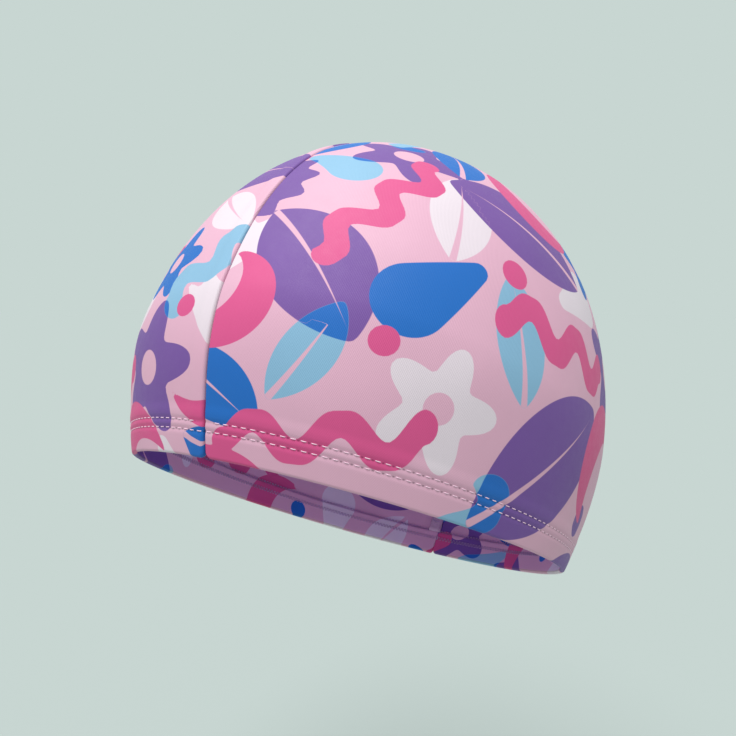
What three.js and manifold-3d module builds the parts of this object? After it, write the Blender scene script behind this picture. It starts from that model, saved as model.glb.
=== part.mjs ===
// A stretch-cloth swim cap, filled out and tilted as an upright head wears it.
//
// Two cloth panels, left and right of the wearer, meet in a seam that runs from
// the forehead over the crown to the nape. Their rim is turned in as a hem. The
// seam's allowance lies inside, folded to the wearer's right, and lifts the
// cloth over it into a low welt.
//
// Millimetres. +Z is up, -Y is the front of the head and +X is the wearer's
// left. The origin is where the top of the head bears on the cloth.

import * as THREE from "three";
import { mergeVertices } from "three/addons/utils/BufferGeometryUtils.js";
import Module from "manifold-3d";

// The cap's outside, measured from the middle of the rim's plane.
const GIRTH_HALF_LENGTH = 100;
const GIRTH_HALF_WIDTH = 81;
const GIRTH_HEIGHT = 41.5; // the widest level
const CROWN_HEIGHT = 144;
const CROWN_LEAN = 5; // the crown's top lies this far behind the rim's middle
const RIM_FRONT = 84.5;
const RIM_BACK = 91;
const RIM_HALF_WIDTH = 73;

// Exponents of the side's curve: how round the crown is, and how late the cloth
// draws in to the rim.
const CROWN_ROUNDNESS = 2.2;
const RIM_CURVE = 1.64;

// The cloth and how it is sewn.
const WALL = 1;
const HEM_WALL = 1;
const HEM_DEPTH = 10.5;
const ALLOWANCE_WIDTH = 5;
const ALLOWANCE_WALL = 1.5;
const WELT_RISE = 0.6;
const CLEARANCE = 0.3; // between pieces that touch

// The rim's plane is lower at the nape than at the forehead.
const WEAR_TILT = THREE.MathUtils.degToRad(30);

// How finely the curved walls are faceted.
const SIDES = 56;
const RINGS_BELOW_GIRTH = 6;
const RINGS_ABOVE_GIRTH = 15;

// A cutter runs this far past what it cuts.
const OVERRUN = 4;

// Corners of a mesh that lie closer than this are one.
const MERGE_DISTANCE = 1e-4;

// How many points of the crown's line are tried for its highest.
const SEAT_STEPS = 2000;

const CLOTH = {
  panel: { color: 0xf6c3dc, roughness: 0.62 },
  hem: { color: 0xe9a9c6, roughness: 0.66 },
  allowance: { color: 0xf2e3ea, roughness: 0.75 },
};

const wasm = await Module();
wasm.setup();

// The side's curve from the rim up to the crown's top, at a depth under the
// outside. x is the share of the girth's radius, y the height.
function sideProfile(depth) {
  const points = [];
  for (let i = 0; i < RINGS_BELOW_GIRTH; i++) {
    points.push(new THREE.Vector2(1, (GIRTH_HEIGHT * i) / RINGS_BELOW_GIRTH));
  }
  const rise = CROWN_HEIGHT - depth - GIRTH_HEIGHT;
  for (let i = 0; i <= RINGS_ABOVE_GIRTH; i++) {
    const turn = (Math.PI / 2) * (i / RINGS_ABOVE_GIRTH);
    const height = GIRTH_HEIGHT + rise * Math.sin(turn) ** (2 / CROWN_ROUNDNESS);
    points.push(new THREE.Vector2(i < RINGS_ABOVE_GIRTH ? Math.cos(turn) : 0, height));
  }
  return points;
}

// Where the cloth stands at an angle round the cap (0 is the wearer's left, a
// quarter turn the nape), for a point of the side's curve.
function onCap(angle, share, height, depth) {
  const endRim = Math.sin(angle) < 0 ? RIM_FRONT : RIM_BACK;
  const endDraw = 1 - endRim / GIRTH_HALF_LENGTH;
  const sideDraw = 1 - RIM_HALF_WIDTH / GIRTH_HALF_WIDTH;
  const below = Math.max(0, (GIRTH_HEIGHT - height) / GIRTH_HEIGHT) ** RIM_CURVE;
  const endShare = Math.sin(angle) ** 2;
  const drawn = 1 - below * (endDraw * endShare + sideDraw * (1 - endShare));
  return new THREE.Vector3(
    (GIRTH_HALF_WIDTH - depth) * share * drawn * Math.cos(angle),
    (GIRTH_HALF_LENGTH - depth) * share * drawn * Math.sin(angle) +
      CROWN_LEAN * (height / CROWN_HEIGHT) ** 2,
    height,
  );
}

function toSolid(geometry) {
  const bare = geometry.clone();
  bare.deleteAttribute("normal");
  bare.deleteAttribute("uv");
  const merged = mergeVertices(bare, MERGE_DISTANCE);
  const mesh = new wasm.Mesh({
    numProp: 3,
    vertProperties: new Float32Array(merged.attributes.position.array),
    triVerts: new Uint32Array(merged.index.array),
  });
  return new wasm.Manifold(mesh);
}

function toGeometry(solid) {
  const mesh = solid.getMesh();
  const geometry = new THREE.BufferGeometry();
  geometry.setAttribute("position", new THREE.BufferAttribute(mesh.vertProperties, 3));
  geometry.setIndex(new THREE.BufferAttribute(mesh.triVerts, 1));
  geometry.computeVertexNormals();
  return geometry;
}

// The whole cap as a filled dome, its skin at a depth under the outside. It
// runs on below the rim's plane.
function dome(depth) {
  const axisFoot = new THREE.Vector2(0, -OVERRUN);
  const foot = new THREE.Vector2(1, -OVERRUN);
  const outline = [axisFoot, foot, ...sideProfile(depth)];
  const geometry = new THREE.LatheGeometry(outline, SIDES);
  const position = geometry.attributes.position;
  for (let i = 0; i < position.count; i++) {
    // A lathe turns about Y, so its height is y.
    const share = Math.hypot(position.getX(i), position.getZ(i));
    const angle = Math.atan2(-position.getZ(i), position.getX(i));
    const place = onCap(angle, share, position.getY(i), depth);
    position.setXYZ(i, place.x, place.y, place.z);
  }
  return toSolid(geometry);
}

// The layer of cloth between two depths.
function layer(outerDepth, innerDepth) {
  return dome(outerDepth).subtract(dome(innerDepth));
}

// A block that keeps one stretch of the width and of the height.
function keepBetween(fromX, toX, fromZ, toZ) {
  const length = 2 * (GIRTH_HALF_LENGTH + CROWN_LEAN + OVERRUN);
  const block = new THREE.BoxGeometry(toX - fromX, length, toZ - fromZ);
  block.translate((fromX + toX) / 2, 0, (fromZ + toZ) / 2);
  return toSolid(block);
}

const outerX = GIRTH_HALF_WIDTH + WELT_RISE + OVERRUN;
const topZ = CROWN_HEIGHT + WELT_RISE + OVERRUN;
const seamEdge = CLEARANCE / 2;
const leftHalf = keepBetween(seamEdge, outerX, 0, topZ);
const rightHalf = keepBetween(-outerX, -seamEdge, 0, topZ);

const panelLayer = layer(0, WALL);
const hemOuterDepth = WALL + CLEARANCE;
const hemLayer = layer(hemOuterDepth, hemOuterDepth + HEM_WALL);
const allowanceLayer = layer(hemOuterDepth, hemOuterDepth + ALLOWANCE_WALL);

function leftPanel() {
  return panelLayer.intersect(leftHalf);
}

// The right panel carries the welt, a raised strip of the same cloth.
function rightPanel() {
  const strip = keepBetween(-ALLOWANCE_WIDTH, -seamEdge, 0, topZ);
  const welt = layer(-WELT_RISE, WALL).intersect(strip);
  return panelLayer.intersect(rightHalf).add(welt);
}

function leftHem() {
  return hemLayer.intersect(keepBetween(seamEdge, outerX, 0, HEM_DEPTH));
}

function rightHem() {
  return hemLayer.intersect(keepBetween(-outerX, -seamEdge, 0, HEM_DEPTH));
}

// The allowance stops short of the hem, which is sewn over its ends.
function seamAllowance() {
  const strip = keepBetween(-ALLOWANCE_WIDTH, -seamEdge, HEM_DEPTH + CLEARANCE, topZ);
  return allowanceLayer.intersect(strip);
}

// Where the top of an upright head bears: the highest point of the inside on
// the seam's line, once the cap is tilted.
function headSeat() {
  const up = new THREE.Vector3(0, -Math.sin(WEAR_TILT), Math.cos(WEAR_TILT));
  const rise = CROWN_HEIGHT - WALL - GIRTH_HEIGHT;
  let seat = new THREE.Vector3();
  for (let i = 0; i <= SEAT_STEPS; i++) {
    const turn = (Math.PI / 2) * (i / SEAT_STEPS);
    const height = GIRTH_HEIGHT + rise * Math.sin(turn) ** (2 / CROWN_ROUNDNESS);
    const place = onCap(-Math.PI / 2, Math.cos(turn), height, WALL);
    if (place.dot(up) > seat.dot(up)) seat = place;
  }
  return seat;
}

function clothMesh(name, solid, { color, roughness }) {
  const material = new THREE.MeshStandardMaterial({ color, roughness, metalness: 0 });
  const mesh = new THREE.Mesh(toGeometry(solid), material);
  mesh.name = name;
  return mesh;
}

const cap = new THREE.Group();
cap.add(clothMesh("panel_left", leftPanel(), CLOTH.panel));
cap.add(clothMesh("panel_right", rightPanel(), CLOTH.panel));
cap.add(clothMesh("hem_left", leftHem(), CLOTH.hem));
cap.add(clothMesh("hem_right", rightHem(), CLOTH.hem));
cap.add(clothMesh("seam_allowance", seamAllowance(), CLOTH.allowance));
cap.position.copy(headSeat().negate());

// Tilting about the head seat brings it to the origin and the nape down.
const worn = new THREE.Group();
worn.name = "swim_cap";
worn.add(cap);
worn.rotation.x = -WEAR_TILT;

export default worn;
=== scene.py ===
# A stretch-cloth swim cap, filled out and tilted as an upright head wears it: two printed
# panels, a seam over the crown whose allowance is folded to the wearer's right, and a hem
# turned in at the rim and held by two rows of stitches.
#
# The cap's own sizes are millimetres, measured from the middle of its rim's plane, and
# place() turns such a point into the frame's metres.

import math

import bpy
import numpy as np
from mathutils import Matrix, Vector


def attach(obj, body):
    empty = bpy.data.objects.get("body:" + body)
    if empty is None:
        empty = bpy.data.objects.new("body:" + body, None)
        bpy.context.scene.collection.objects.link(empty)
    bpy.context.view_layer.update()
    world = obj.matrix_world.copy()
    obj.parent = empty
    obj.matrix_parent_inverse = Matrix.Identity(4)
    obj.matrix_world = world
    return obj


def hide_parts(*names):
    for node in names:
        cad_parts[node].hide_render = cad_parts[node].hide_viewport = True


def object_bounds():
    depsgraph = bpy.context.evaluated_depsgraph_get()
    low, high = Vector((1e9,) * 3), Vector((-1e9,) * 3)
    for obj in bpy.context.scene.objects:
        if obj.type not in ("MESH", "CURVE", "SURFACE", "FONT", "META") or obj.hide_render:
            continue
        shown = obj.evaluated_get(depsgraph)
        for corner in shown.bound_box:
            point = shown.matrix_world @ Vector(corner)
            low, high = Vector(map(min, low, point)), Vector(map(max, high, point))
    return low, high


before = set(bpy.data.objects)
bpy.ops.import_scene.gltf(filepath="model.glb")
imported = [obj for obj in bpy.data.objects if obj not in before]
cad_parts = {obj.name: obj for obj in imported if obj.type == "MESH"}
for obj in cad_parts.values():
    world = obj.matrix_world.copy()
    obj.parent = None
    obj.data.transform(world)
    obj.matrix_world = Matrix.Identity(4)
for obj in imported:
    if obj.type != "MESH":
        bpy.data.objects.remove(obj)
cad_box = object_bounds()

MM = 0.001

# The cap's outside.
GIRTH_HALF_LENGTH = 100
GIRTH_HALF_WIDTH = 81
GIRTH_HEIGHT = 41.5
CROWN_HEIGHT = 144
CROWN_LEAN = 5
RIM_FRONT = 84.5
RIM_BACK = 91
RIM_HALF_WIDTH = 73
CROWN_ROUNDNESS = 2.2
RIM_CURVE = 1.64
WEAR_TILT = math.radians(30)

# The cloth and how it is sewn.
WALL = 1  # of the solid that the head's top bears on
CLOTH = 0.7
LAYER_GAP = 0.1  # between the two layers of the hem
HEM_DEPTH = 10.5
CLEARANCE = 0.3
ALLOWANCE_WIDTH = 5
ALLOWANCE_DEPTH = 2.6  # how far its inner face lies under the outside
WELT_RISE = 0.4
HEM_THICKNESS = 2 * CLOTH + LAYER_GAP
STITCH_PITCH = 2.53
STITCH_LENGTH = 1.4
LOWER_ROW = 6.0
UPPER_ROW = 8.1
INSIDE_ROWS = (7.5, 11.0)

# Which way round the cap each side of the seam lies.
SIDES = {"left": 1, "right": -1}
FRONT_SEAM = -math.pi / 2

# How many steps walk the rim, the seam over the crown and the line of the head's seat.
RIM_STEPS = 4000
SEAM_STEPS = 1200
SEAT_STEPS = 2000


def srgb(code, share=1.0):
    """A colour written as six hexadecimal digits, in the linear values that shaders take."""
    values = [int(code[i:i + 2], 16) / 255 for i in (0, 2, 4)]
    linear = [v / 12.92 if v < 0.04045 else ((v + 0.055) / 1.055) ** 2.4 for v in values]
    return tuple(share * v for v in linear)


# The cap's shape

def climb_at(height):
    """The climb of a height: -1 at the rim, 0 at the girth. The crown's top has climb 1."""
    return np.asarray(height, float) / GIRTH_HEIGHT - 1


def on_cap(angle, climb):
    """The cap's plain outside. Angle 0 is the wearer's left, and a quarter turn is the nape."""
    angle, climb = np.broadcast_arrays(angle, climb)
    turn = np.clip(climb, 0, 1) * np.pi / 2
    rise = (CROWN_HEIGHT - GIRTH_HEIGHT) * np.sin(turn) ** (2 / CROWN_ROUNDNESS)
    height = np.where(climb < 0, GIRTH_HEIGHT * (1 + climb), GIRTH_HEIGHT + rise)
    below = np.maximum(0, 1 - height / GIRTH_HEIGHT) ** RIM_CURVE
    end_share = np.sin(angle) ** 2
    end_rim = np.where(np.sin(angle) < 0, RIM_FRONT, RIM_BACK)
    end_draw = 1 - end_rim / GIRTH_HALF_LENGTH
    side_draw = 1 - RIM_HALF_WIDTH / GIRTH_HALF_WIDTH
    share = np.cos(turn) * (1 - below * (end_draw * end_share + side_draw * (1 - end_share)))
    lean = CROWN_LEAN * (height / CROWN_HEIGHT) ** 2
    x = GIRTH_HALF_WIDTH * share * np.cos(angle)
    y = GIRTH_HALF_LENGTH * share * np.sin(angle) + lean
    return np.stack([x, y, height], -1)


def outward(angle, climb):
    """The outside's unit normal."""
    step = 1e-3
    climb = np.minimum(climb, 1 - 2 * step)
    along = on_cap(angle + step, climb) - on_cap(angle - step, climb)
    up = on_cap(angle, climb + step) - on_cap(angle, climb - step)
    normal = np.cross(along, up)
    return normal / np.linalg.norm(normal, axis=-1, keepdims=True)


def head_seat():
    """The highest point of the inside on the seam's line, once the cap is tilted."""
    turn = np.linspace(0, np.pi / 2, SEAT_STEPS + 1)
    rise = (CROWN_HEIGHT - WALL - GIRTH_HEIGHT) * np.sin(turn) ** (2 / CROWN_ROUNDNESS)
    height = GIRTH_HEIGHT + rise
    lean = CROWN_LEAN * (height / CROWN_HEIGHT) ** 2
    y = lean - (GIRTH_HALF_LENGTH - WALL) * np.cos(turn)
    best = np.argmax(height * math.cos(WEAR_TILT) - y * math.sin(WEAR_TILT))
    return np.array([0, y[best], height[best]])


SEAT = head_seat()


def tilted(vectors):
    """Vectors of the cap, turned as it is worn."""
    x, y, z = np.moveaxis(np.asarray(vectors, float), -1, 0)
    cos, sin = math.cos(WEAR_TILT), math.sin(WEAR_TILT)
    return np.stack([x, y * cos + z * sin, z * cos - y * sin], -1)


def place(points):
    """Points of the cap, as metres in the frame."""
    return tilted(np.asarray(points, float) - SEAT) * MM


# How sewing shapes the cloth

EDGE_ROLL = {"left": 0.35, "right": 0.85}  # radius of the rounding into the seam
GROOVE_DEPTH = 0.6
WELT_RAMP = 2.6
CORNER_RADIUS = 1.6
STITCH_PULL = 0.24
STITCH_PULL_WIDTH = 0.5
HEM_PUFF = 0.16
PUFF_ENDS = (HEM_DEPTH - 0.8, HEM_DEPTH + 1.6)
TEMPLE = math.radians(-128)  # the right temple, where the cloth stands out the most
TEMPLE_SWELL = 1.2
TEMPLE_WIDTH = 0.35
TEMPLE_ENDS = (-0.4, 0.4)  # the climbs between which the swell dies out

# The stretched cloth's slow unevenness, which stops short of the crown and the rim.
DRAPE = 0.14
DRAPE_RIM = (-1.0, -0.6)
DRAPE_CROWN = (0.55, 0.95)

# Its waves: strength, and how fast both factors run round the cap and up it, with a phase.
DRAPE_WAVES = [
    (1.0, (3, 2.3, 0.6), (0, 4.3, 0.9)),
    (0.5, (8, -3.9, 2.1), (-2, 6.1, 0)),
]


def smooth(value, low, high):
    """0 below low and 1 above high, with a soft ramp between."""
    t = np.clip((value - low) / (high - low), 0, 1)
    return t * t * (3 - 2 * t)


def rounding(distance, radius):
    """1 at an edge, falling to 0 along a quarter circle."""
    inside = np.clip(1 - distance / radius, 0, 1)
    return 1 - np.sqrt(1 - inside ** 2)


def seam_depth(side, across):
    """How deep the outside lies at a distance from the seam."""
    fall = GROOVE_DEPTH * rounding(across, EDGE_ROLL[side])
    if side == "left":
        return fall
    foot = smooth(across, ALLOWANCE_WIDTH - WELT_RAMP / 2, ALLOWANCE_WIDTH + WELT_RAMP / 2)
    return fall * (GROOVE_DEPTH + WELT_RISE) / GROOVE_DEPTH - WELT_RISE * (1 - foot)


def hem_relief(height):
    """How deep the stitches pull the outside in, less what the turned-in hem puffs it out."""
    off_rows = [(height - row) / STITCH_PULL_WIDTH for row in (LOWER_ROW, UPPER_ROW)]
    pull = sum(np.exp(-off ** 2) for off in off_rows)
    return STITCH_PULL * pull - HEM_PUFF * (1 - smooth(height, *PUFF_ENDS))


def drape(angle, climb):
    """How deep cloth that is stretched over a head lies unevenly, and stands out at the temple."""
    def ripple(round_rate, climb_rate, phase):
        return np.sin(round_rate * angle + climb_rate * climb + phase)

    slow = sum(strength * ripple(*first) * ripple(*second) for strength, first, second in DRAPE_WAVES)
    shown = smooth(climb, *DRAPE_RIM) * (1 - smooth(climb, *DRAPE_CROWN))
    temple = np.exp((np.cos(angle - TEMPLE) - 1) / TEMPLE_WIDTH ** 2)
    return DRAPE * slow * shown - TEMPLE_SWELL * temple * (1 - smooth(climb, *TEMPLE_ENDS))


def cloth_point(side, angle, climb, depth, outside):
    """A point of the sewn cloth. outside is 1 on the cap's outside and 0 on its inside."""
    plain = on_cap(angle, climb)
    across = np.abs(plain[..., 0])
    height = plain[..., 2]
    near_rim = 1 - smooth(height, 0, 3 * CORNER_RADIUS)
    climb = climb + CORNER_RADIUS * rounding(across, CORNER_RADIUS) * near_rim / GIRTH_HEIGHT
    relief = seam_depth(side, across) + hem_relief(height)
    total = depth + outside * relief + drape(angle, climb)
    point = on_cap(angle, climb) - outward(angle, climb) * total[..., None]
    point[..., 0] += SIDES[side] * CLEARANCE / 2
    return point


# The print: plain cut-out motifs in flat colours, repeated over the cloth

TILE_WIDTH = 180
TILE_HEIGHT = 156

# How each panel's cut lies on the printed cloth: shift along and across it, and turn.
CUTS = {"left": (62, 40, -14), "right": (132, 48, 22)}

# One row a motif: shape, ink, centre along and across the cloth, turn in degrees, and
# its length and width (a fan's half angle, and 0 where a shape has only one size).
MOTIFS = [
    ("leaf", "purple", 20, 18, 38, 57, 31),
    ("crescent", "magenta", 56, 20, -50, 37, 11),
    ("drop", "white", 76, 12, 100, 34, 20),
    ("leaf", "blue", 102, 20, -28, 42, 22),
    ("wave", "magenta", 136, 12, 14, 50, 7),
    ("flower", "white", 162, 26, 0, 32, 0),
    ("leaf", "sky", 128, 34, 64, 34, 15),
    ("wave", "magenta", 24, 50, -10, 50, 7.5),
    ("leaf", "sky", 4, 48, 96, 36, 17),
    ("flower", "purple", 66, 50, 12, 45, 0),
    ("drop", "white", 38, 68, 200, 32, 19),
    ("crescent", "magenta", 98, 50, 140, 38, 11),
    ("leaf", "purple", 126, 62, -62, 54, 31),
    ("drop", "blue", 158, 56, 30, 36, 21),
    ("fan", "white", 98, 72, 84, 30, 48),
    ("leaf", "purple", 16, 86, 150, 57, 31),
    ("flower", "blue", 56, 86, 24, 32, 0),
    ("wave", "sky", 82, 94, 64, 48, 9),
    ("wave", "magenta", 148, 86, 42, 58, 7.5),
    ("leaf", "white", 170, 84, 70, 40, 20),
    ("crescent", "magenta", 34, 104, 30, 38, 11),
    ("fan", "purple", 110, 108, -30, 38, 52),
    ("leaf", "white", 64, 112, -16, 38, 18),
    ("leaf", "blue", 8, 120, 60, 38, 20),
    ("drop", "sky", 138, 112, 118, 32, 18),
    ("flower", "purple", 164, 116, 40, 42, 0),
    ("leaf", "purple", 42, 136, 12, 55, 29),
    ("drop", "white", 84, 132, -50, 32, 19),
    ("crescent", "magenta", 116, 138, 210, 38, 11),
    ("leaf", "blue", 146, 140, 24, 42, 21),
    ("wave", "sky", 176, 146, 80, 40, 8.5),
    ("dot", "magenta", 4, 66, 0, 9, 0),
    ("dot", "white", 18, 142, 0, 9, 0),
    ("dot", "magenta", 80, 72, 0, 8, 0),
    ("dot", "blue", 104, 139, 0, 8, 0),
    ("dot", "blue", 70, 150, 0, 9, 0),
    ("dot", "magenta", 146, 40, 0, 8, 0),
    ("dot", "purple", 48, 4, 0, 9, 0),
]

INKS = ("white", "purple", "blue", "sky", "magenta")
WAVE_LENGTH = 22
WAVE_SWING = 4
DROP_TIP = 1 / 7  # radius of its small end, as a share of its width
PETALS = 5
PETAL_DEPTH = 0.22
FLOWER_MIDDLE = 1 / 8
FAN_LOBES = 5
FAN_SCALLOP = 0.06
CORNER_SOFTNESS = 1.6
FAR = 9  # millimetres past which a print distance no longer matters
SIDE_MIDDLE = 55  # height of the side's middle, round which a panel's cloth is unrolled
UV_SPAN = 100  # millimetres of cloth that one unit of its UV map covers


def overlap(first, second):
    """What two shapes share, its corners slightly rounded."""
    soft = np.maximum(CORNER_SOFTNESS - np.abs(first - second), 0) ** 2 / (4 * CORNER_SOFTNESS)
    return np.maximum(first, second) + soft


def disc(x, y, radius):
    return np.hypot(x, y) - radius


def leaf(x, y, length, width):
    radius = (length ** 2 + width ** 2) / (4 * width)
    off = radius - width / 2
    return overlap(disc(x, y + off, radius), disc(x, y - off, radius))


def crescent(x, y, size, width):
    return overlap(disc(x, y, size / 2), -disc(x - width, y, size / 2 - width / 4))


def drop(x, y, length, width):
    """A round end and a small one, joined by straight sides."""
    big, small = width / 2, width * DROP_TIP
    reach = length - big - small
    tilt = (big - small) / reach
    flank = math.sqrt(1 - tilt ** 2)
    x = x + length / 2 - big
    y = np.abs(y)
    along = flank * x - tilt * y
    side = tilt * x + flank * y - big
    ends = np.where(along < 0, disc(x, y, big), disc(x - reach, y, small))
    return np.where((along < 0) | (along > flank * reach), ends, side)


def wave(x, y, length, width):
    turn = 2 * math.pi / WAVE_LENGTH
    near_x = np.clip(x, -length / 2, length / 2)
    slope = WAVE_SWING * turn * np.cos(turn * near_x)
    off_line = (y - WAVE_SWING * np.sin(turn * near_x)) / np.sqrt(1 + slope ** 2)
    return np.hypot(off_line, x - near_x) - width / 2


def flower(x, y, size, _):
    """Petals round an open middle."""
    reach = 1 - PETAL_DEPTH + PETAL_DEPTH * np.cos(PETALS * np.arctan2(y, x))
    return np.maximum(disc(x, y, size / 2 * reach), -disc(x, y, size * FLOWER_MIDDLE))


def fan(x, y, size, half_angle):
    """A sector with a scalloped edge."""
    x = x + size / 2
    radius, angle = np.hypot(x, y), np.arctan2(y, x)
    half = math.radians(half_angle)
    lobes = np.cos(angle * math.pi * FAN_LOBES / half)
    edge = radius - size * (1 - FAN_SCALLOP - FAN_SCALLOP * lobes)
    sides = np.sin(np.minimum(np.abs(angle) - half, math.pi / 2)) * radius
    return overlap(edge, sides)


def dot(x, y, size, _):
    return disc(x, y, size / 2)


SHAPES = {
    "leaf": leaf, "crescent": crescent, "drop": drop, "wave": wave,
    "flower": flower, "fan": fan, "dot": dot,
}


def on_cloth(side, angle, climb):
    """Where a point of the worn cap lies on its panel's flat cloth, from the side's middle."""
    x, y, z = np.moveaxis(on_cap(angle, climb), -1, 0)
    high = z - SIDE_MIDDLE
    rise = CROWN_HEIGHT - SIDE_MIDDLE
    reach = np.hypot(y / GIRTH_HALF_LENGTH, high / rise)
    round_side = np.arctan2(reach, np.abs(x) / GIRTH_HALF_WIDTH)
    aside = np.arctan2(high, y)
    radius = np.hypot(GIRTH_HALF_LENGTH * np.cos(aside), rise * np.sin(aside))
    distance = round_side * np.sqrt((radius ** 2 + GIRTH_HALF_WIDTH ** 2) / 2)
    return SIDES[side] * distance * np.cos(aside), distance * np.sin(aside)


def on_print(side, along, across):
    """Where a point of a panel's flat cloth lies on the printed repeat."""
    shift_along, shift_across, turn = CUTS[side]
    cos, sin = math.cos(math.radians(turn)), math.sin(math.radians(turn))
    return along * cos - across * sin + shift_along, along * sin + across * cos + shift_across


def print_fields(along, across):
    """How far each point lies outside each ink's motifs, and its place on the nearest leaf."""
    fields = {f"ink_{ink}": np.full(along.shape, float(FAR)) for ink in INKS}
    fields["leaf"] = np.full(along.shape, np.inf)
    fields["leaf_across"] = np.full(along.shape, float(FAR))
    fields["leaf_along"] = np.zeros(along.shape)
    for shape, ink, centre_along, centre_across, turn, length, width in MOTIFS:
        cos, sin = math.cos(math.radians(turn)), math.sin(math.radians(turn))
        x = (along - centre_along + TILE_WIDTH / 2) % TILE_WIDTH - TILE_WIDTH / 2
        y = (across - centre_across + TILE_HEIGHT / 2) % TILE_HEIGHT - TILE_HEIGHT / 2
        x, y = x * cos + y * sin, y * cos - x * sin
        found = SHAPES[shape](x, y, length, width)
        fields[f"ink_{ink}"] = np.minimum(fields[f"ink_{ink}"], found)
        if shape == "leaf":
            nearer = found < fields["leaf"]
            fields["leaf"] = np.where(nearer, found, fields["leaf"])
            fields["leaf_across"] = np.where(nearer, y, fields["leaf_across"])
            fields["leaf_along"] = np.where(nearer, x / length, fields["leaf_along"])
    return {name: np.clip(values, -FAR, FAR) for name, values in fields.items()}


# Where the stitches lie round the rim

SEAM_GAP = 2.6  # the upper row stops this far from the front and back seams
ROWS = {"lower": (LOWER_ROW, 0), "upper": (UPPER_ROW, SEAM_GAP)}
MID_STITCH = 0.5  # in stitches, from one needle hole to the next
RIM_ZONE = 20  # millimetres past which the height over the rim no longer matters


def rim_walk(height):
    """Turns from the front seam round by the left, the stitches up to each, and their count."""
    turns = np.linspace(0, 2 * np.pi, RIM_STEPS + 1)
    line = on_cap(FRONT_SEAM + turns, climb_at(height))
    walked = np.concatenate([[0], np.cumsum(np.linalg.norm(np.diff(line, axis=0), axis=1))])
    count = round(walked[-1] / STITCH_PITCH)
    return turns, walked * count / walked[-1], count


def stitch_angles(height, steps):
    """Angles round the cap at numbers of stitches from the front seam."""
    turns, walked, count = rim_walk(height)
    return FRONT_SEAM + np.interp(steps % count, walked, turns)


def stitch_fields(side, angle, climb):
    """A point's height over the rim, and the stitches of each row from the front seam to it."""
    offset = SIDES[side] * (angle - FRONT_SEAM)
    turn = offset if side == "left" else 2 * np.pi - offset
    fields = {"rim_height": np.clip((climb + 1) * GIRTH_HEIGHT, -RIM_ZONE, RIM_ZONE)}
    for name, (height, gap) in ROWS.items():
        turns, walked, _ = rim_walk(height)
        clear = np.abs(on_cap(angle, climb_at(height))[..., 0]) > gap
        fields[f"stitch_{name}"] = np.where(clear, np.interp(turn, turns, walked), MID_STITCH)
    return fields


# The panels' mesh

COLUMN_STEP = 1.15
FINEST_COLUMN = 0.07
COLUMN_GROWTH = 1.25
ROW_STEP = 1.1
HEM_ROW_STEP = 0.4
HEM_ZONE = HEM_DEPTH + 2
TURNED_IN_STEP = 1.0
LAST_ROW_GAP = 0.2  # keeps the turned-in cloth's last row off its raw edge
RAW_EDGE_HEIGHT = 1.2  # over which the turned-in cloth thins out under its stitches
RAW_EDGE_ROWS = 5
FOLD_ROWS = 8
CROWN_ROWS = 130
INSIDE_CROWN_ROWS = 44


def seam_to_seam():
    """Angles from the front seam to the back seam, close together near both."""
    half_girth = math.pi * (GIRTH_HALF_LENGTH + GIRTH_HALF_WIDTH) / 2
    steps = []
    step = FINEST_COLUMN
    while step < COLUMN_STEP:
        steps.append(step)
        step *= COLUMN_GROWTH
    even = half_girth - 2 * sum(steps)
    count = math.ceil(even / COLUMN_STEP)
    steps = steps + [even / count] * count + steps[::-1]
    return np.concatenate([[0], np.cumsum(steps)]) * math.pi / half_girth


def row(climb, depth, outside):
    """One line of the cloth round the cap."""
    return {"climb": climb, "depth": depth, "outside": outside}


def cloth_rows():
    """The panel's rows from the crown down the outside, round the rim's fold and up the inside.

    Also how many of them are drawn with the face's material.
    """
    rows = [row(c, 0, 1) for c in np.linspace(1, 0, CROWN_ROWS)[1:]]
    above_hem = np.arange(GIRTH_HEIGHT - ROW_STEP, HEM_ZONE, -ROW_STEP)
    fold = HEM_THICKNESS / 2
    in_hem = np.arange(HEM_ZONE, fold, -HEM_ROW_STEP)
    rows += [row(climb_at(h), 0, 1) for h in np.concatenate([above_hem, in_hem])]
    for turn in np.linspace(0, math.pi, FOLD_ROWS + 1):
        height = fold * (1 - math.sin(turn))
        outside = (1 + math.cos(turn)) / 2
        rows.append(row(climb_at(height), fold * (1 - math.cos(turn)), outside))
    face_rows = len(rows)
    turned_in = np.arange(2 * fold, HEM_DEPTH - LAST_ROW_GAP, TURNED_IN_STEP)
    rows += [row(climb_at(h), HEM_THICKNESS, 0) for h in turned_in]
    for share in np.linspace(0, 1, RAW_EDGE_ROWS):
        depth = CLOTH + (HEM_THICKNESS - CLOTH) * (1 - smooth(share, 0, 1))
        rows.append(row(climb_at(HEM_DEPTH + RAW_EDGE_HEIGHT * share), depth, 0))
    inside_heights = np.arange(HEM_DEPTH + 2 * RAW_EDGE_HEIGHT, GIRTH_HEIGHT, 2 * ROW_STEP)
    rows += [row(climb_at(h), CLOTH, 0) for h in inside_heights]
    rows += [row(c, CLOTH, 0) for c in np.linspace(0, 1, INSIDE_CROWN_ROWS)[:-1]]
    return rows, face_rows


def panel_faces(rows, columns, flip):
    """Quads between the rows, fans at both crown points and a face along each seam edge."""
    at = np.arange(rows * columns).reshape(rows, columns)
    outer_pole, inner_pole = rows * columns, rows * columns + 1
    quads = np.stack([at[:-1, :-1], at[1:, :-1], at[1:, 1:], at[:-1, 1:]], -1).reshape(-1, 4)
    faces = [tuple(f) for f in quads.tolist()]
    faces += [(outer_pole, int(a), int(b)) for a, b in zip(at[0, :-1], at[0, 1:])]
    faces += [(inner_pole, int(b), int(a)) for a, b in zip(at[-1, :-1], at[-1, 1:])]
    faces.append(tuple([outer_pole, inner_pole, *at[::-1, 0].tolist()]))
    faces.append(tuple([inner_pole, outer_pole, *at[:, -1].tolist()]))
    return [f[::-1] for f in faces] if flip else faces


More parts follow.
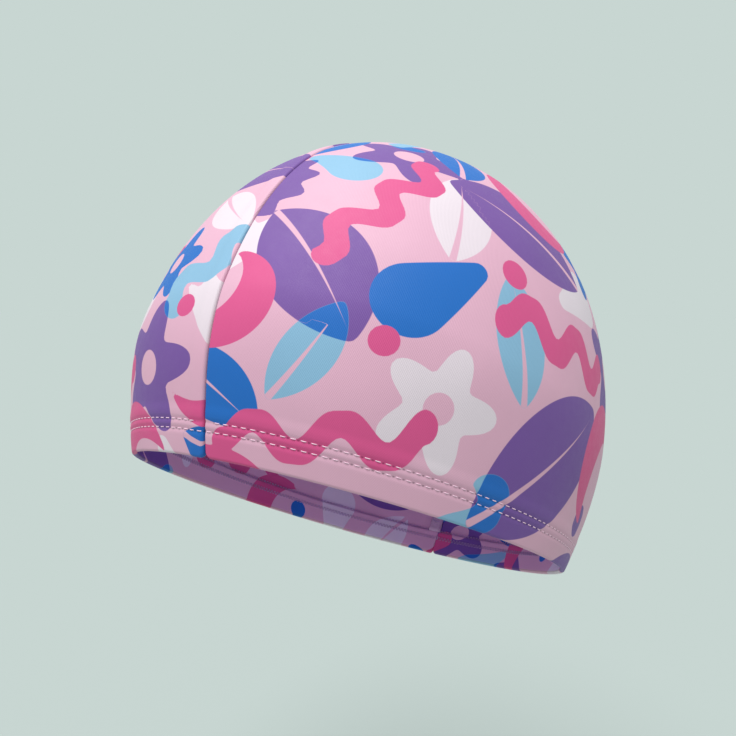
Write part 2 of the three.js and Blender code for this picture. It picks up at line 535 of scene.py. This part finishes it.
def make_mesh(name, vertices, faces, materials):
    """A smooth shaded piece, its vertices in metres."""
    mesh = bpy.data.meshes.new(name)
    mesh.from_pydata(np.asarray(vertices).tolist(), [], faces)
    mesh.validate()
    for material in materials:
        mesh.materials.append(material)
    piece = bpy.data.objects.new(name, mesh)
    bpy.context.scene.collection.objects.link(piece)
    mesh.shade_smooth()
    return piece


def add_print(mesh, side, angle, climb):
    """Gives each vertex its place on the cloth and on the print."""
    along, across = on_cloth(side, angle, climb)
    fields = print_fields(*on_print(side, along, across)) | stitch_fields(side, angle, climb)
    for name, values in fields.items():
        layer = mesh.attributes.new(name, "FLOAT", "POINT")
        layer.data.foreach_set("value", values.astype(np.float32))
    corners = np.zeros(len(mesh.loops), np.int32)
    mesh.loops.foreach_get("vertex_index", corners)
    flat = np.stack([along, across], -1)[corners] / UV_SPAN
    mesh.uv_layers.new(name="Cloth").data.foreach_set("uv", flat.astype(np.float32).ravel())


def make_panel(side, materials):
    """One panel with its turned-in hem, as one closed cloth."""
    rows, face_rows = cloth_rows()
    offsets = seam_to_seam()
    climb, depth, outside = (
        np.array([r[key] for r in rows])[:, None] + 0 * offsets
        for key in ("climb", "depth", "outside")
    )
    angle = FRONT_SEAM + SIDES[side] * offsets + 0 * climb
    grid = cloth_point(side, angle, climb, depth, outside).reshape(-1, 3)
    pole_angle = np.full(2, FRONT_SEAM)
    pole_climb = np.ones(2)
    poles = cloth_point(side, pole_angle, pole_climb, np.array([0, CLOTH]), np.array([1, 0]))
    vertices = place(np.concatenate([grid, poles]))
    faces = panel_faces(len(rows), len(offsets), flip=side == "left")
    panel = make_mesh(f"{side}_panel_cloth", vertices, faces, materials)
    per_row = len(offsets) - 1
    slots = np.ones(len(panel.data.polygons), np.int32)
    slots[:(face_rows - 1) * per_row] = 0
    fan = (len(rows) - 1) * per_row
    slots[fan:fan + per_row] = 0
    panel.data.polygons.foreach_set("material_index", slots)
    all_angles = np.concatenate([angle.ravel(), pole_angle])
    all_climbs = np.concatenate([climb.ravel(), pole_climb])
    add_print(panel.data, side, all_angles, all_climbs)
    return panel


# Thread

THREAD_RADIUS = 0.125
THREAD_SIDES = 6
LOOPER_RADIUS = 0.14
LOOPER_PROUD = 0.12
LOOPER_SIDES = 5
LOOP_SWING = 0.65
LOOPS_A_STITCH = 1.5
EDGE_THREAD_DEPTH = CLOTH + 0.7 * (HEM_THICKNESS - CLOTH)  # on the slope of the hem's raw edge
OVERLOCK_RADIUS = 0.16

# A stitch outside: share of its length, and height over the cloth.
STITCH_ARC = np.array([
    (0, -0.25), (0.1, 0.04), (0.28, 0.14), (0.5, 0.16), (0.72, 0.14), (0.9, 0.04), (1, -0.25),
])

# A loop inside: share of its length, and share of its swing across the row.
LOOP = np.array([
    (0, -1), (0.16, -1), (0.22, -0.35), (0.28, 0.35), (0.34, 1), (0.5, 1), (0.66, 1),
    (0.72, 0.35), (0.78, -0.35), (0.84, -1), (1, -1),
])


def tubes(name, paths, normals, radius, sides, material):
    """Closed tubes in one mesh, along paths of as many points each. Normals leave the cloth."""
    paths = np.asarray(paths, float)
    normals = np.asarray(normals, float)
    count, length = paths.shape[:2]
    along = np.gradient(paths, axis=1)
    along /= np.linalg.norm(along, axis=-1, keepdims=True)
    across = np.cross(along, normals)
    across /= np.linalg.norm(across, axis=-1, keepdims=True)
    out = np.cross(across, along)
    turn = np.arange(sides) * 2 * np.pi / sides
    ring = np.cos(turn)[:, None] * across[:, :, None] + np.sin(turn)[:, None] * out[:, :, None]
    vertices = (paths[:, :, None] + radius * ring).reshape(-1, 3)
    at = np.arange(count * length * sides).reshape(count, length, sides)
    after = np.roll(at, -1, axis=2)
    walls = np.stack([at[:, :-1], at[:, 1:], after[:, 1:], after[:, :-1]], -1).reshape(-1, 4)
    caps = np.concatenate([at[:, 0], at[:, -1, ::-1]])
    faces = walls.tolist() + caps.tolist()
    return make_mesh(name, place(vertices), faces, [material])


def skin(angles, heights, proud, depth=0, outside=1):
    """Points on the sewn cloth with their normals, standing proud of it."""
    angles, heights, proud = np.broadcast_arrays(angles, heights, proud)
    climbs = climb_at(heights)
    points = np.empty(angles.shape + (3,))
    for side in SIDES:
        mine = (np.cos(angles) >= 0) == (side == "left")
        deep = np.full(mine.sum(), depth)
        points[mine] = cloth_point(side, angles[mine], climbs[mine], deep, outside)
    normals = outward(angles, climbs) * (1 if outside else -1)
    return points + normals * proud[..., None], normals


def dash_row(name, material):
    """Short stitches round the rim. Each rises out of the cloth, lies on it and dives in again."""
    height, gap = ROWS[name]
    share, rise = STITCH_ARC.T
    stretch = STITCH_LENGTH / STITCH_PITCH
    count = rim_walk(height)[2]
    steps = np.arange(count)[:, None] + MID_STITCH + (share - 0.5) * stretch
    angles = stitch_angles(height, steps)
    middles = angles[:, len(share) // 2]
    clear = np.abs(on_cap(middles, climb_at(height))[:, 0]) > gap
    points, normals = skin(angles[clear], height, rise)
    return tubes(f"{name}_stitches", points, normals, THREAD_RADIUS, THREAD_SIDES, material)


def looper_rows(name, material):
    """Two rows of looped thread inside the hem, the upper one over its raw edge."""
    ahead, swing = LOOP.T
    paths, facings = [], []
    for middle in INSIDE_ROWS:
        loops = round(rim_walk(middle)[2] * LOOPS_A_STITCH)
        angles = stitch_angles(middle, (np.arange(loops)[:, None] + ahead) / LOOPS_A_STITCH)
        heights = middle + LOOP_SWING * swing
        depth = HEM_THICKNESS if middle < HEM_DEPTH else EDGE_THREAD_DEPTH
        points, normals = skin(angles, heights, LOOPER_PROUD, depth, 0)
        paths.append(points)
        facings.append(normals)
    paths, facings = np.concatenate(paths), np.concatenate(facings)
    return tubes(name, paths, facings, LOOPER_RADIUS, LOOPER_SIDES, material)


# The seam's inside

OVERLOCK_PITCH = 2.6
OVERLOCK_SIDES = 5
OVERLOCK_PROUD = 0.1
ALLOWANCE_REACH = 0.8  # how far the allowance runs under the other panel
ALLOWANCE_TOP = CLOTH + 0.04
ALLOWANCE_MIDDLE = (ALLOWANCE_TOP + ALLOWANCE_DEPTH) / 2
ALLOWANCE_STEP = 1.6
EDGE_WAVER = 0.1  # how far the cut edges stray to either side
EDGE_WAVER_LENGTH = 3 * OVERLOCK_PITCH


def seam_line():
    """The seam from the front hem over the crown to the back hem, and the way walked along it."""
    one_way = np.linspace(climb_at(HEM_DEPTH + CLEARANCE), 1, SEAM_STEPS)
    climbs = np.concatenate([one_way, one_way[::-1]])
    angles = np.repeat([FRONT_SEAM, -FRONT_SEAM], SEAM_STEPS)
    points = on_cap(angles, climbs)
    walked = np.concatenate([[0], np.cumsum(np.linalg.norm(np.diff(points, axis=0), axis=1))])
    return angles, climbs, points, walked


def along_seam(distances):
    """Points of the plain outside on the seam, with their normals, at distances walked along it."""
    angles, climbs, points, walked = seam_line()
    normals = outward(angles, climbs)
    found = np.stack([np.interp(distances, walked, points[:, k]) for k in range(3)], -1)
    facing = np.stack([np.interp(distances, walked, normals[:, k]) for k in range(3)], -1)
    facing[..., 0] = 0
    return found, facing / np.linalg.norm(facing, axis=-1, keepdims=True)


def allowance_section():
    """The allowance's section, its two cut edges at raw: across the seam to the left, and depth."""
    top, middle, bottom = ALLOWANCE_TOP, ALLOWANCE_MIDDLE, ALLOWANCE_DEPTH
    raw = -ALLOWANCE_WIDTH
    return [
        (ALLOWANCE_REACH, top + 0.15), (0.2, top), (raw + 0.3, top), (raw, top + 0.2),
        (raw + 0.05, middle - 0.12), (raw + 0.3, middle), (raw - 0.1, middle + 0.12),
        (raw + 0.05, bottom - 0.2), (raw + 0.35, bottom), (-0.3, bottom), (0.3, bottom - 0.3),
        (ALLOWANCE_REACH, middle),
    ]


def make_allowance(material):
    """The panels' two cut edges, laid one on the other and folded to the wearer's right."""
    walked = seam_line()[3][-1]
    distances = np.linspace(0, walked, round(walked / ALLOWANCE_STEP))
    points, normals = along_seam(distances)
    across, depth = np.array(allowance_section()).T
    waver = EDGE_WAVER * np.sin(distances * 2 * np.pi / EDGE_WAVER_LENGTH)
    vertices = points[:, None] - normals[:, None] * depth[:, None]
    vertices[..., 0] += across + (across < -ALLOWANCE_WIDTH / 2) * waver[:, None]
    sides = len(across)
    at = np.arange(len(distances) * sides).reshape(-1, sides)
    after = np.roll(at, -1, axis=1)
    walls = np.stack([at[:-1], at[1:], after[1:], after[:-1]], -1).reshape(-1, 4)
    faces = walls.tolist() + [at[0].tolist(), at[-1, ::-1].tolist()]
    return make_mesh("seam_allowance_cloth", place(vertices.reshape(-1, 3)), faces, [material])


def overlock_loop():
    """A loop of the overlock: share of a pitch ahead, across the seam to the left, and depth."""
    inner = ALLOWANCE_DEPTH
    proud = inner + OVERLOCK_PROUD
    edge = (CLOTH + inner) / 2 + 0.3
    return [
        (0, -0.6, inner), (0.12, -1.6, proud), (0.3, -3.0, proud + 0.02), (0.5, -4.4, proud),
        (0.68, -5.15, edge), (0.85, -4.4, proud), (1, -2.8, proud), (1, -0.8, inner),
    ]


def make_overlock(material):
    """Thread laid round the allowance's cut edges, one slanting loop a pitch."""
    walked = seam_line()[3][-1]
    starts = np.arange(OVERLOCK_PITCH, walked - 2 * OVERLOCK_PITCH, OVERLOCK_PITCH)
    ahead, across, depth = np.array(overlock_loop()).T
    points, normals = along_seam(starts[:, None] + ahead * OVERLOCK_PITCH)
    points = points - normals * depth[:, None]
    points[..., 0] += across
    return tubes("overlock_thread", points, -normals, OVERLOCK_RADIUS, OVERLOCK_SIDES, material)


# Materials

KNIT_WALE = 0.42
KNIT_COURSE = 0.34
COURSE_SHARE = 0.5  # height of the courses against the ribs
INK_EDGE = 0.14
CLOTH_SPECULAR = 0.2
# Painted shade: the base colour is darkened by this share in the dips between the stitches, in a band
# a little below each row like a shadow.
PAINTED_DIP_SHADE = 0.5
PAINTED_SHADE_DROP = 0.08  # below the row's middle
PAINTED_SHADE_HALF_HEIGHT = 0.18
RIB_WIDTH = 1.3
RIB_END = 0.36  # where a midrib stops, as a share of the leaf's length from its middle

# What the inks are multiplied by on the cloth's face, and seen through its back. The back's tint is
# partly painted light: the print does show through the back, but the tint lifts it and gives it the
# purple cast of the cap's shaded inside, as painted shade colour.
FACE_TINT = (1, 1, 1)
BACK_TINT_PAINTED_SHADE = (1.28, 1.2, 1.54)

# Bumps: strength and height in metres.
KNIT_BUMP = (0.35, 0.03 * MM)
THREAD_BUMP = (0.5, 0.05 * MM)

# Slow noise: its scale, and the values between which it wanders.
DYE_NOISE = (60, 0.96, 1.0)
GLOSS_SCALE = 400
GLOSS_SPREAD = 0.04
TWIST_SHADE_NOISE = (1500, 0.0, 1.0)
TWIST_NOISE = (4000, 0.0, 1.0)
NOISE_DETAIL = 3
NOISE_RANGE = (0.3, 0.7)

TWIST_SHADE = 0.8
THREAD_SHEEN = 0.3

COLOURS = {
    "ground": "D09FB4", "white": "D4C4CD", "purple": "6F4C91", "blue": "1F62B0",
    "sky": "7FA6C2", "magenta": "C94E81",
}


def new_material(name):
    material = bpy.data.materials.new(name)
    material.use_nodes = True
    tree = material.node_tree
    return material, tree, tree.nodes["Principled BSDF"]


def math_node(tree, operation, *values):
    node = tree.nodes.new("ShaderNodeMath")
    node.operation = operation
    for socket, value in zip(node.inputs, values):
        if isinstance(value, bpy.types.NodeSocket):
            tree.links.new(value, socket)
        else:
            socket.default_value = value
    return node.outputs[0]


def mixed(tree, share, low, high):
    """One colour laid over another by a share."""
    node = tree.nodes.new("ShaderNodeMix")
    node.data_type = "RGBA"
    colour_a, colour_b = [s for s in node.inputs if s.type == "RGBA"]
    tree.links.new(share, node.inputs["Factor"])
    for socket, value in ((colour_a, low), (colour_b, high)):
        if isinstance(value, bpy.types.NodeSocket):
            tree.links.new(value, socket)
        else:
            socket.default_value = (*value, 1)
    return [s for s in node.outputs if s.type == "RGBA"][0]


def attribute_value(tree, name):
    node = tree.nodes.new("ShaderNodeAttribute")
    node.attribute_name = name
    return node.outputs["Fac"]


def mask_inside(tree, distance):
    """1 where a distance is negative, with an edge as soft as dye in cloth."""
    ramp = tree.nodes.new("ShaderNodeMapRange")
    ramp.interpolation_type = "SMOOTHSTEP"
    tree.links.new(distance, ramp.inputs["Value"])
    ramp.inputs["From Min"].default_value = INK_EDGE
    ramp.inputs["From Max"].default_value = -INK_EDGE
    return ramp.outputs[0]


def rib_mask(tree):
    """1 on a leaf's midrib, which is left unprinted and tapers towards the tip."""
    offset = math_node(tree, "ABSOLUTE", attribute_value(tree, "leaf_across"))
    to_end = math_node(tree, "SUBTRACT", RIB_END, attribute_value(tree, "leaf_along"))
    half_width = math_node(tree, "MULTIPLY", to_end, RIB_WIDTH)
    on_rib = mask_inside(tree, math_node(tree, "SUBTRACT", offset, half_width))
    return math_node(tree, "MULTIPLY", on_rib, mask_inside(tree, attribute_value(tree, "leaf")))


def painted_dip_shade_mask(tree):
    """1 in the dips between the stitches, where the needle pulls the cloth in: the band where painted
    shade darkens the base colour.
    """
    half_gap = (1 - STITCH_LENGTH / STITCH_PITCH) / 2
    rim_height = attribute_value(tree, "rim_height")
    masks = []
    for name, (height, _) in ROWS.items():
        turn = math_node(tree, "MULTIPLY", attribute_value(tree, f"stitch_{name}"), 2 * math.pi)
        nearness = math_node(tree, "COSINE", turn)
        between = math_node(tree, "SUBTRACT", math.cos(math.pi * half_gap), nearness)
        off_row = math_node(tree, "SUBTRACT", rim_height, height - PAINTED_SHADE_DROP)
        off_line = math_node(tree, "SUBTRACT", math_node(tree, "ABSOLUTE", off_row), PAINTED_SHADE_HALF_HEIGHT)
        both = math_node(tree, "MULTIPLY", mask_inside(tree, between), mask_inside(tree, off_line))
        masks.append(both)
    return math_node(tree, "ADD", *masks)


def printed_colour(tree, tint):
    """The inks laid over the ground. Sky over purple prints as blue, and magenta covers all."""
    def shade(name):
        return tuple(c * t for c, t in zip(srgb(COLOURS[name]), tint))

    masks = {ink: mask_inside(tree, attribute_value(tree, f"ink_{ink}")) for ink in INKS}
    colour = shade("ground")
    for ink in INKS:
        if ink == "magenta":
            colour = mixed(tree, rib_mask(tree), colour, shade("ground"))
        colour = mixed(tree, masks[ink], colour, shade(ink))
        if ink == "sky":
            both = math_node(tree, "MULTIPLY", masks["sky"], masks["purple"])
            colour = mixed(tree, both, colour, shade("blue"))
    return colour


def knit_height(tree):
    """The knit's ribs, running down the cloth, with the courses across them."""
    uv = tree.nodes.new("ShaderNodeUVMap")
    uv.uv_map = "Cloth"
    parts = tree.nodes.new("ShaderNodeSeparateXYZ")
    tree.links.new(uv.outputs[0], parts.inputs[0])
    waves = []
    for place_on_cloth, pitch in zip(parts.outputs, (KNIT_WALE, KNIT_COURSE)):
        turn = math_node(tree, "MULTIPLY", place_on_cloth, 2 * math.pi * UV_SPAN / pitch)
        waves.append(math_node(tree, "SINE", turn))
    wale, course = waves
    return math_node(tree, "ADD", wale, math_node(tree, "MULTIPLY", course, COURSE_SHARE))


def slow_noise(tree, scale, low, high):
    """A slow unevenness between two values."""
    place_node = tree.nodes.new("ShaderNodeTexCoord")
    noise = tree.nodes.new("ShaderNodeTexNoise")
    tree.links.new(place_node.outputs["Object"], noise.inputs["Vector"])
    noise.inputs["Scale"].default_value = scale
    noise.inputs["Detail"].default_value = NOISE_DETAIL
    ramp = tree.nodes.new("ShaderNodeMapRange")
    tree.links.new(noise.outputs["Fac"], ramp.inputs["Value"])
    ends = dict(zip(("From Min", "From Max", "To Min", "To Max"), (*NOISE_RANGE, low, high)))
    for name, value in ends.items():
        ramp.inputs[name].default_value = value
    return ramp.outputs[0]


def add_bump(tree, shader, height, strength, distance):
    bump = tree.nodes.new("ShaderNodeBump")
    bump.inputs["Strength"].default_value = strength
    bump.inputs["Distance"].default_value = distance
    tree.links.new(height, bump.inputs["Height"])
    tree.links.new(bump.outputs[0], shader.inputs["Normal"])


def cloth_material(name, tint, roughness, dip_shade_strength):
    """Printed stretch knit, satin on its face."""
    material, tree, shader = new_material(name)
    colour = printed_colour(tree, tint)
    # Painted shade in the dips between the stitches, taken off the slow random dye tone.
    painted_dip_darkening = math_node(tree, "MULTIPLY", painted_dip_shade_mask(tree), dip_shade_strength)
    dye_noise_and_painted_shade = math_node(tree, "SUBTRACT", slow_noise(tree, *DYE_NOISE), painted_dip_darkening)
    dyed_and_shaded_colour = tree.nodes.new("ShaderNodeVectorMath")
    dyed_and_shaded_colour.operation = "SCALE"
    tree.links.new(colour, dyed_and_shaded_colour.inputs[0])
    tree.links.new(dye_noise_and_painted_shade, dyed_and_shaded_colour.inputs["Scale"])
    tree.links.new(dyed_and_shaded_colour.outputs[0], shader.inputs["Base Color"])
    gloss = slow_noise(tree, GLOSS_SCALE, roughness - GLOSS_SPREAD, roughness + GLOSS_SPREAD)
    tree.links.new(gloss, shader.inputs["Roughness"])
    shader.inputs["Specular IOR Level"].default_value = CLOTH_SPECULAR
    add_bump(tree, shader, knit_height(tree), *KNIT_BUMP)
    return material


def thread_material(name, code, roughness=0.5):
    """Fine twisted thread."""
    material, tree, shader = new_material(name)
    twist = slow_noise(tree, *TWIST_SHADE_NOISE)
    colour = mixed(tree, twist, srgb(code, TWIST_SHADE), srgb(code))
    tree.links.new(colour, shader.inputs["Base Color"])
    shader.inputs["Roughness"].default_value = roughness
    shader.inputs["Sheen Weight"].default_value = THREAD_SHEEN
    add_bump(tree, shader, slow_noise(tree, *TWIST_NOISE), *THREAD_BUMP)
    return material


def plain_material(name, colour, roughness):
    material, tree, shader = new_material(name)
    shader.inputs["Base Color"].default_value = (*colour, 1)
    shader.inputs["Roughness"].default_value = roughness
    shader.inputs["Specular IOR Level"].default_value = 0
    return material


# The cap

def make_cap():
    # The face is darkened with painted shade between the stitches; the back has none of it.
    face = cloth_material("printed_knit_face", FACE_TINT, roughness=0.5, dip_shade_strength=PAINTED_DIP_SHADE)
    back = cloth_material("printed_knit_back", BACK_TINT_PAINTED_SHADE, roughness=0.7, dip_shade_strength=0)
    cut_edge = thread_material("cut_knit_edge", "D6A9D6", 0.8)
    needle = thread_material("needle_thread", "EFC6DA")
    looper = thread_material("looper_thread", "BE95D0", 0.6)

    upper = dash_row("upper", needle)
    lower = dash_row("lower", needle)
    inside = looper_rows("looper_stitches", looper)
    allowance = make_allowance(cut_edge)
    overlock = make_overlock(looper)
    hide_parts("seam_allowance")
    for side in SIDES:
        panel = make_panel(side, [face, back])
        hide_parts(f"panel_{side}", f"hem_{side}")
        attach(panel, "root")
    for piece in (upper, lower, inside):
        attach(piece, "root")
    for piece in (allowance, overlock):
        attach(piece, "root")


# The studio

BACKDROP = "C8D6D2"
FLOOR_DROP = 0.25
FLOOR_SIZE = 40.0
LIGHTS = {  # azimuth, elevation, strength and how many degrees across
    "key": (-6, 73, 4.0, 50),
}
NEAR_CLIP = 0.01
CAMERA_AZIMUTH = 28.66
CAMERA_ELEVATION = 6.70
CAMERA_ROLL = 0.35
CAMERA_PLACE = (0.0970, -0.1900, -0.0557)
LENS = 26.6
SENSOR = 36.0


def direction(azimuth, elevation):
    """The unit vector from the cap towards a place round it. Azimuth 0 is in front and 90 its left."""
    a, e = math.radians(azimuth), math.radians(elevation)
    return Vector((math.sin(a) * math.cos(e), -math.cos(a) * math.cos(e), math.sin(e)))


def add_camera():
    data = bpy.data.cameras.new("camera")
    data.lens = LENS
    data.sensor_width = SENSOR
    data.clip_start = NEAR_CLIP
    camera = bpy.data.objects.new("camera", data)
    bpy.context.scene.collection.objects.link(camera)
    camera.location = CAMERA_PLACE
    facing = (-direction(CAMERA_AZIMUTH, CAMERA_ELEVATION)).to_track_quat("-Z", "Y")
    camera.rotation_euler = facing.to_euler()
    camera.rotation_euler.rotate_axis("Z", math.radians(CAMERA_ROLL))
    bpy.context.scene.camera = camera


def add_light(name, azimuth, elevation, strength, width):
    """A soft distant light, the same everywhere on the floor."""
    data = bpy.data.lights.new(name, "SUN")
    data.energy = strength
    data.angle = math.radians(width)
    light = bpy.data.objects.new(name, data)
    bpy.context.scene.collection.objects.link(light)
    light.rotation_euler = direction(azimuth, elevation).to_track_quat("Z", "Y").to_euler()


def floor_colour():
    """The paper's own colour, with which the lit floor looks just like the backdrop."""
    added = sum(power * math.sin(math.radians(up)) for _, up, power, _ in LIGHTS.values()) / math.pi
    return tuple(c / (c + added) for c in srgb(BACKDROP))


def add_world():
    world = bpy.data.worlds.new("studio")
    bpy.context.scene.world = world
    world.use_nodes = True
    background = world.node_tree.nodes["Background"]
    background.inputs["Color"].default_value = (*srgb(BACKDROP), 1)


def add_studio():
    low, high = cad_box
    half = FLOOR_SIZE / 2
    floor_height = low.z - FLOOR_DROP
    corners = [(-half, -half), (half, -half), (half, half), (-half, half)]
    paper = plain_material("floor_paper", floor_colour(), 1.0)
    floor = make_mesh("floor", [(x, y, floor_height) for x, y in corners], [(0, 1, 2, 3)], [paper])
    add_world()
    for name, light in LIGHTS.items():
        add_light(name, *light)


make_cap()
add_camera()
add_studio()
bpy.context.scene.view_settings.view_transform = "Standard"
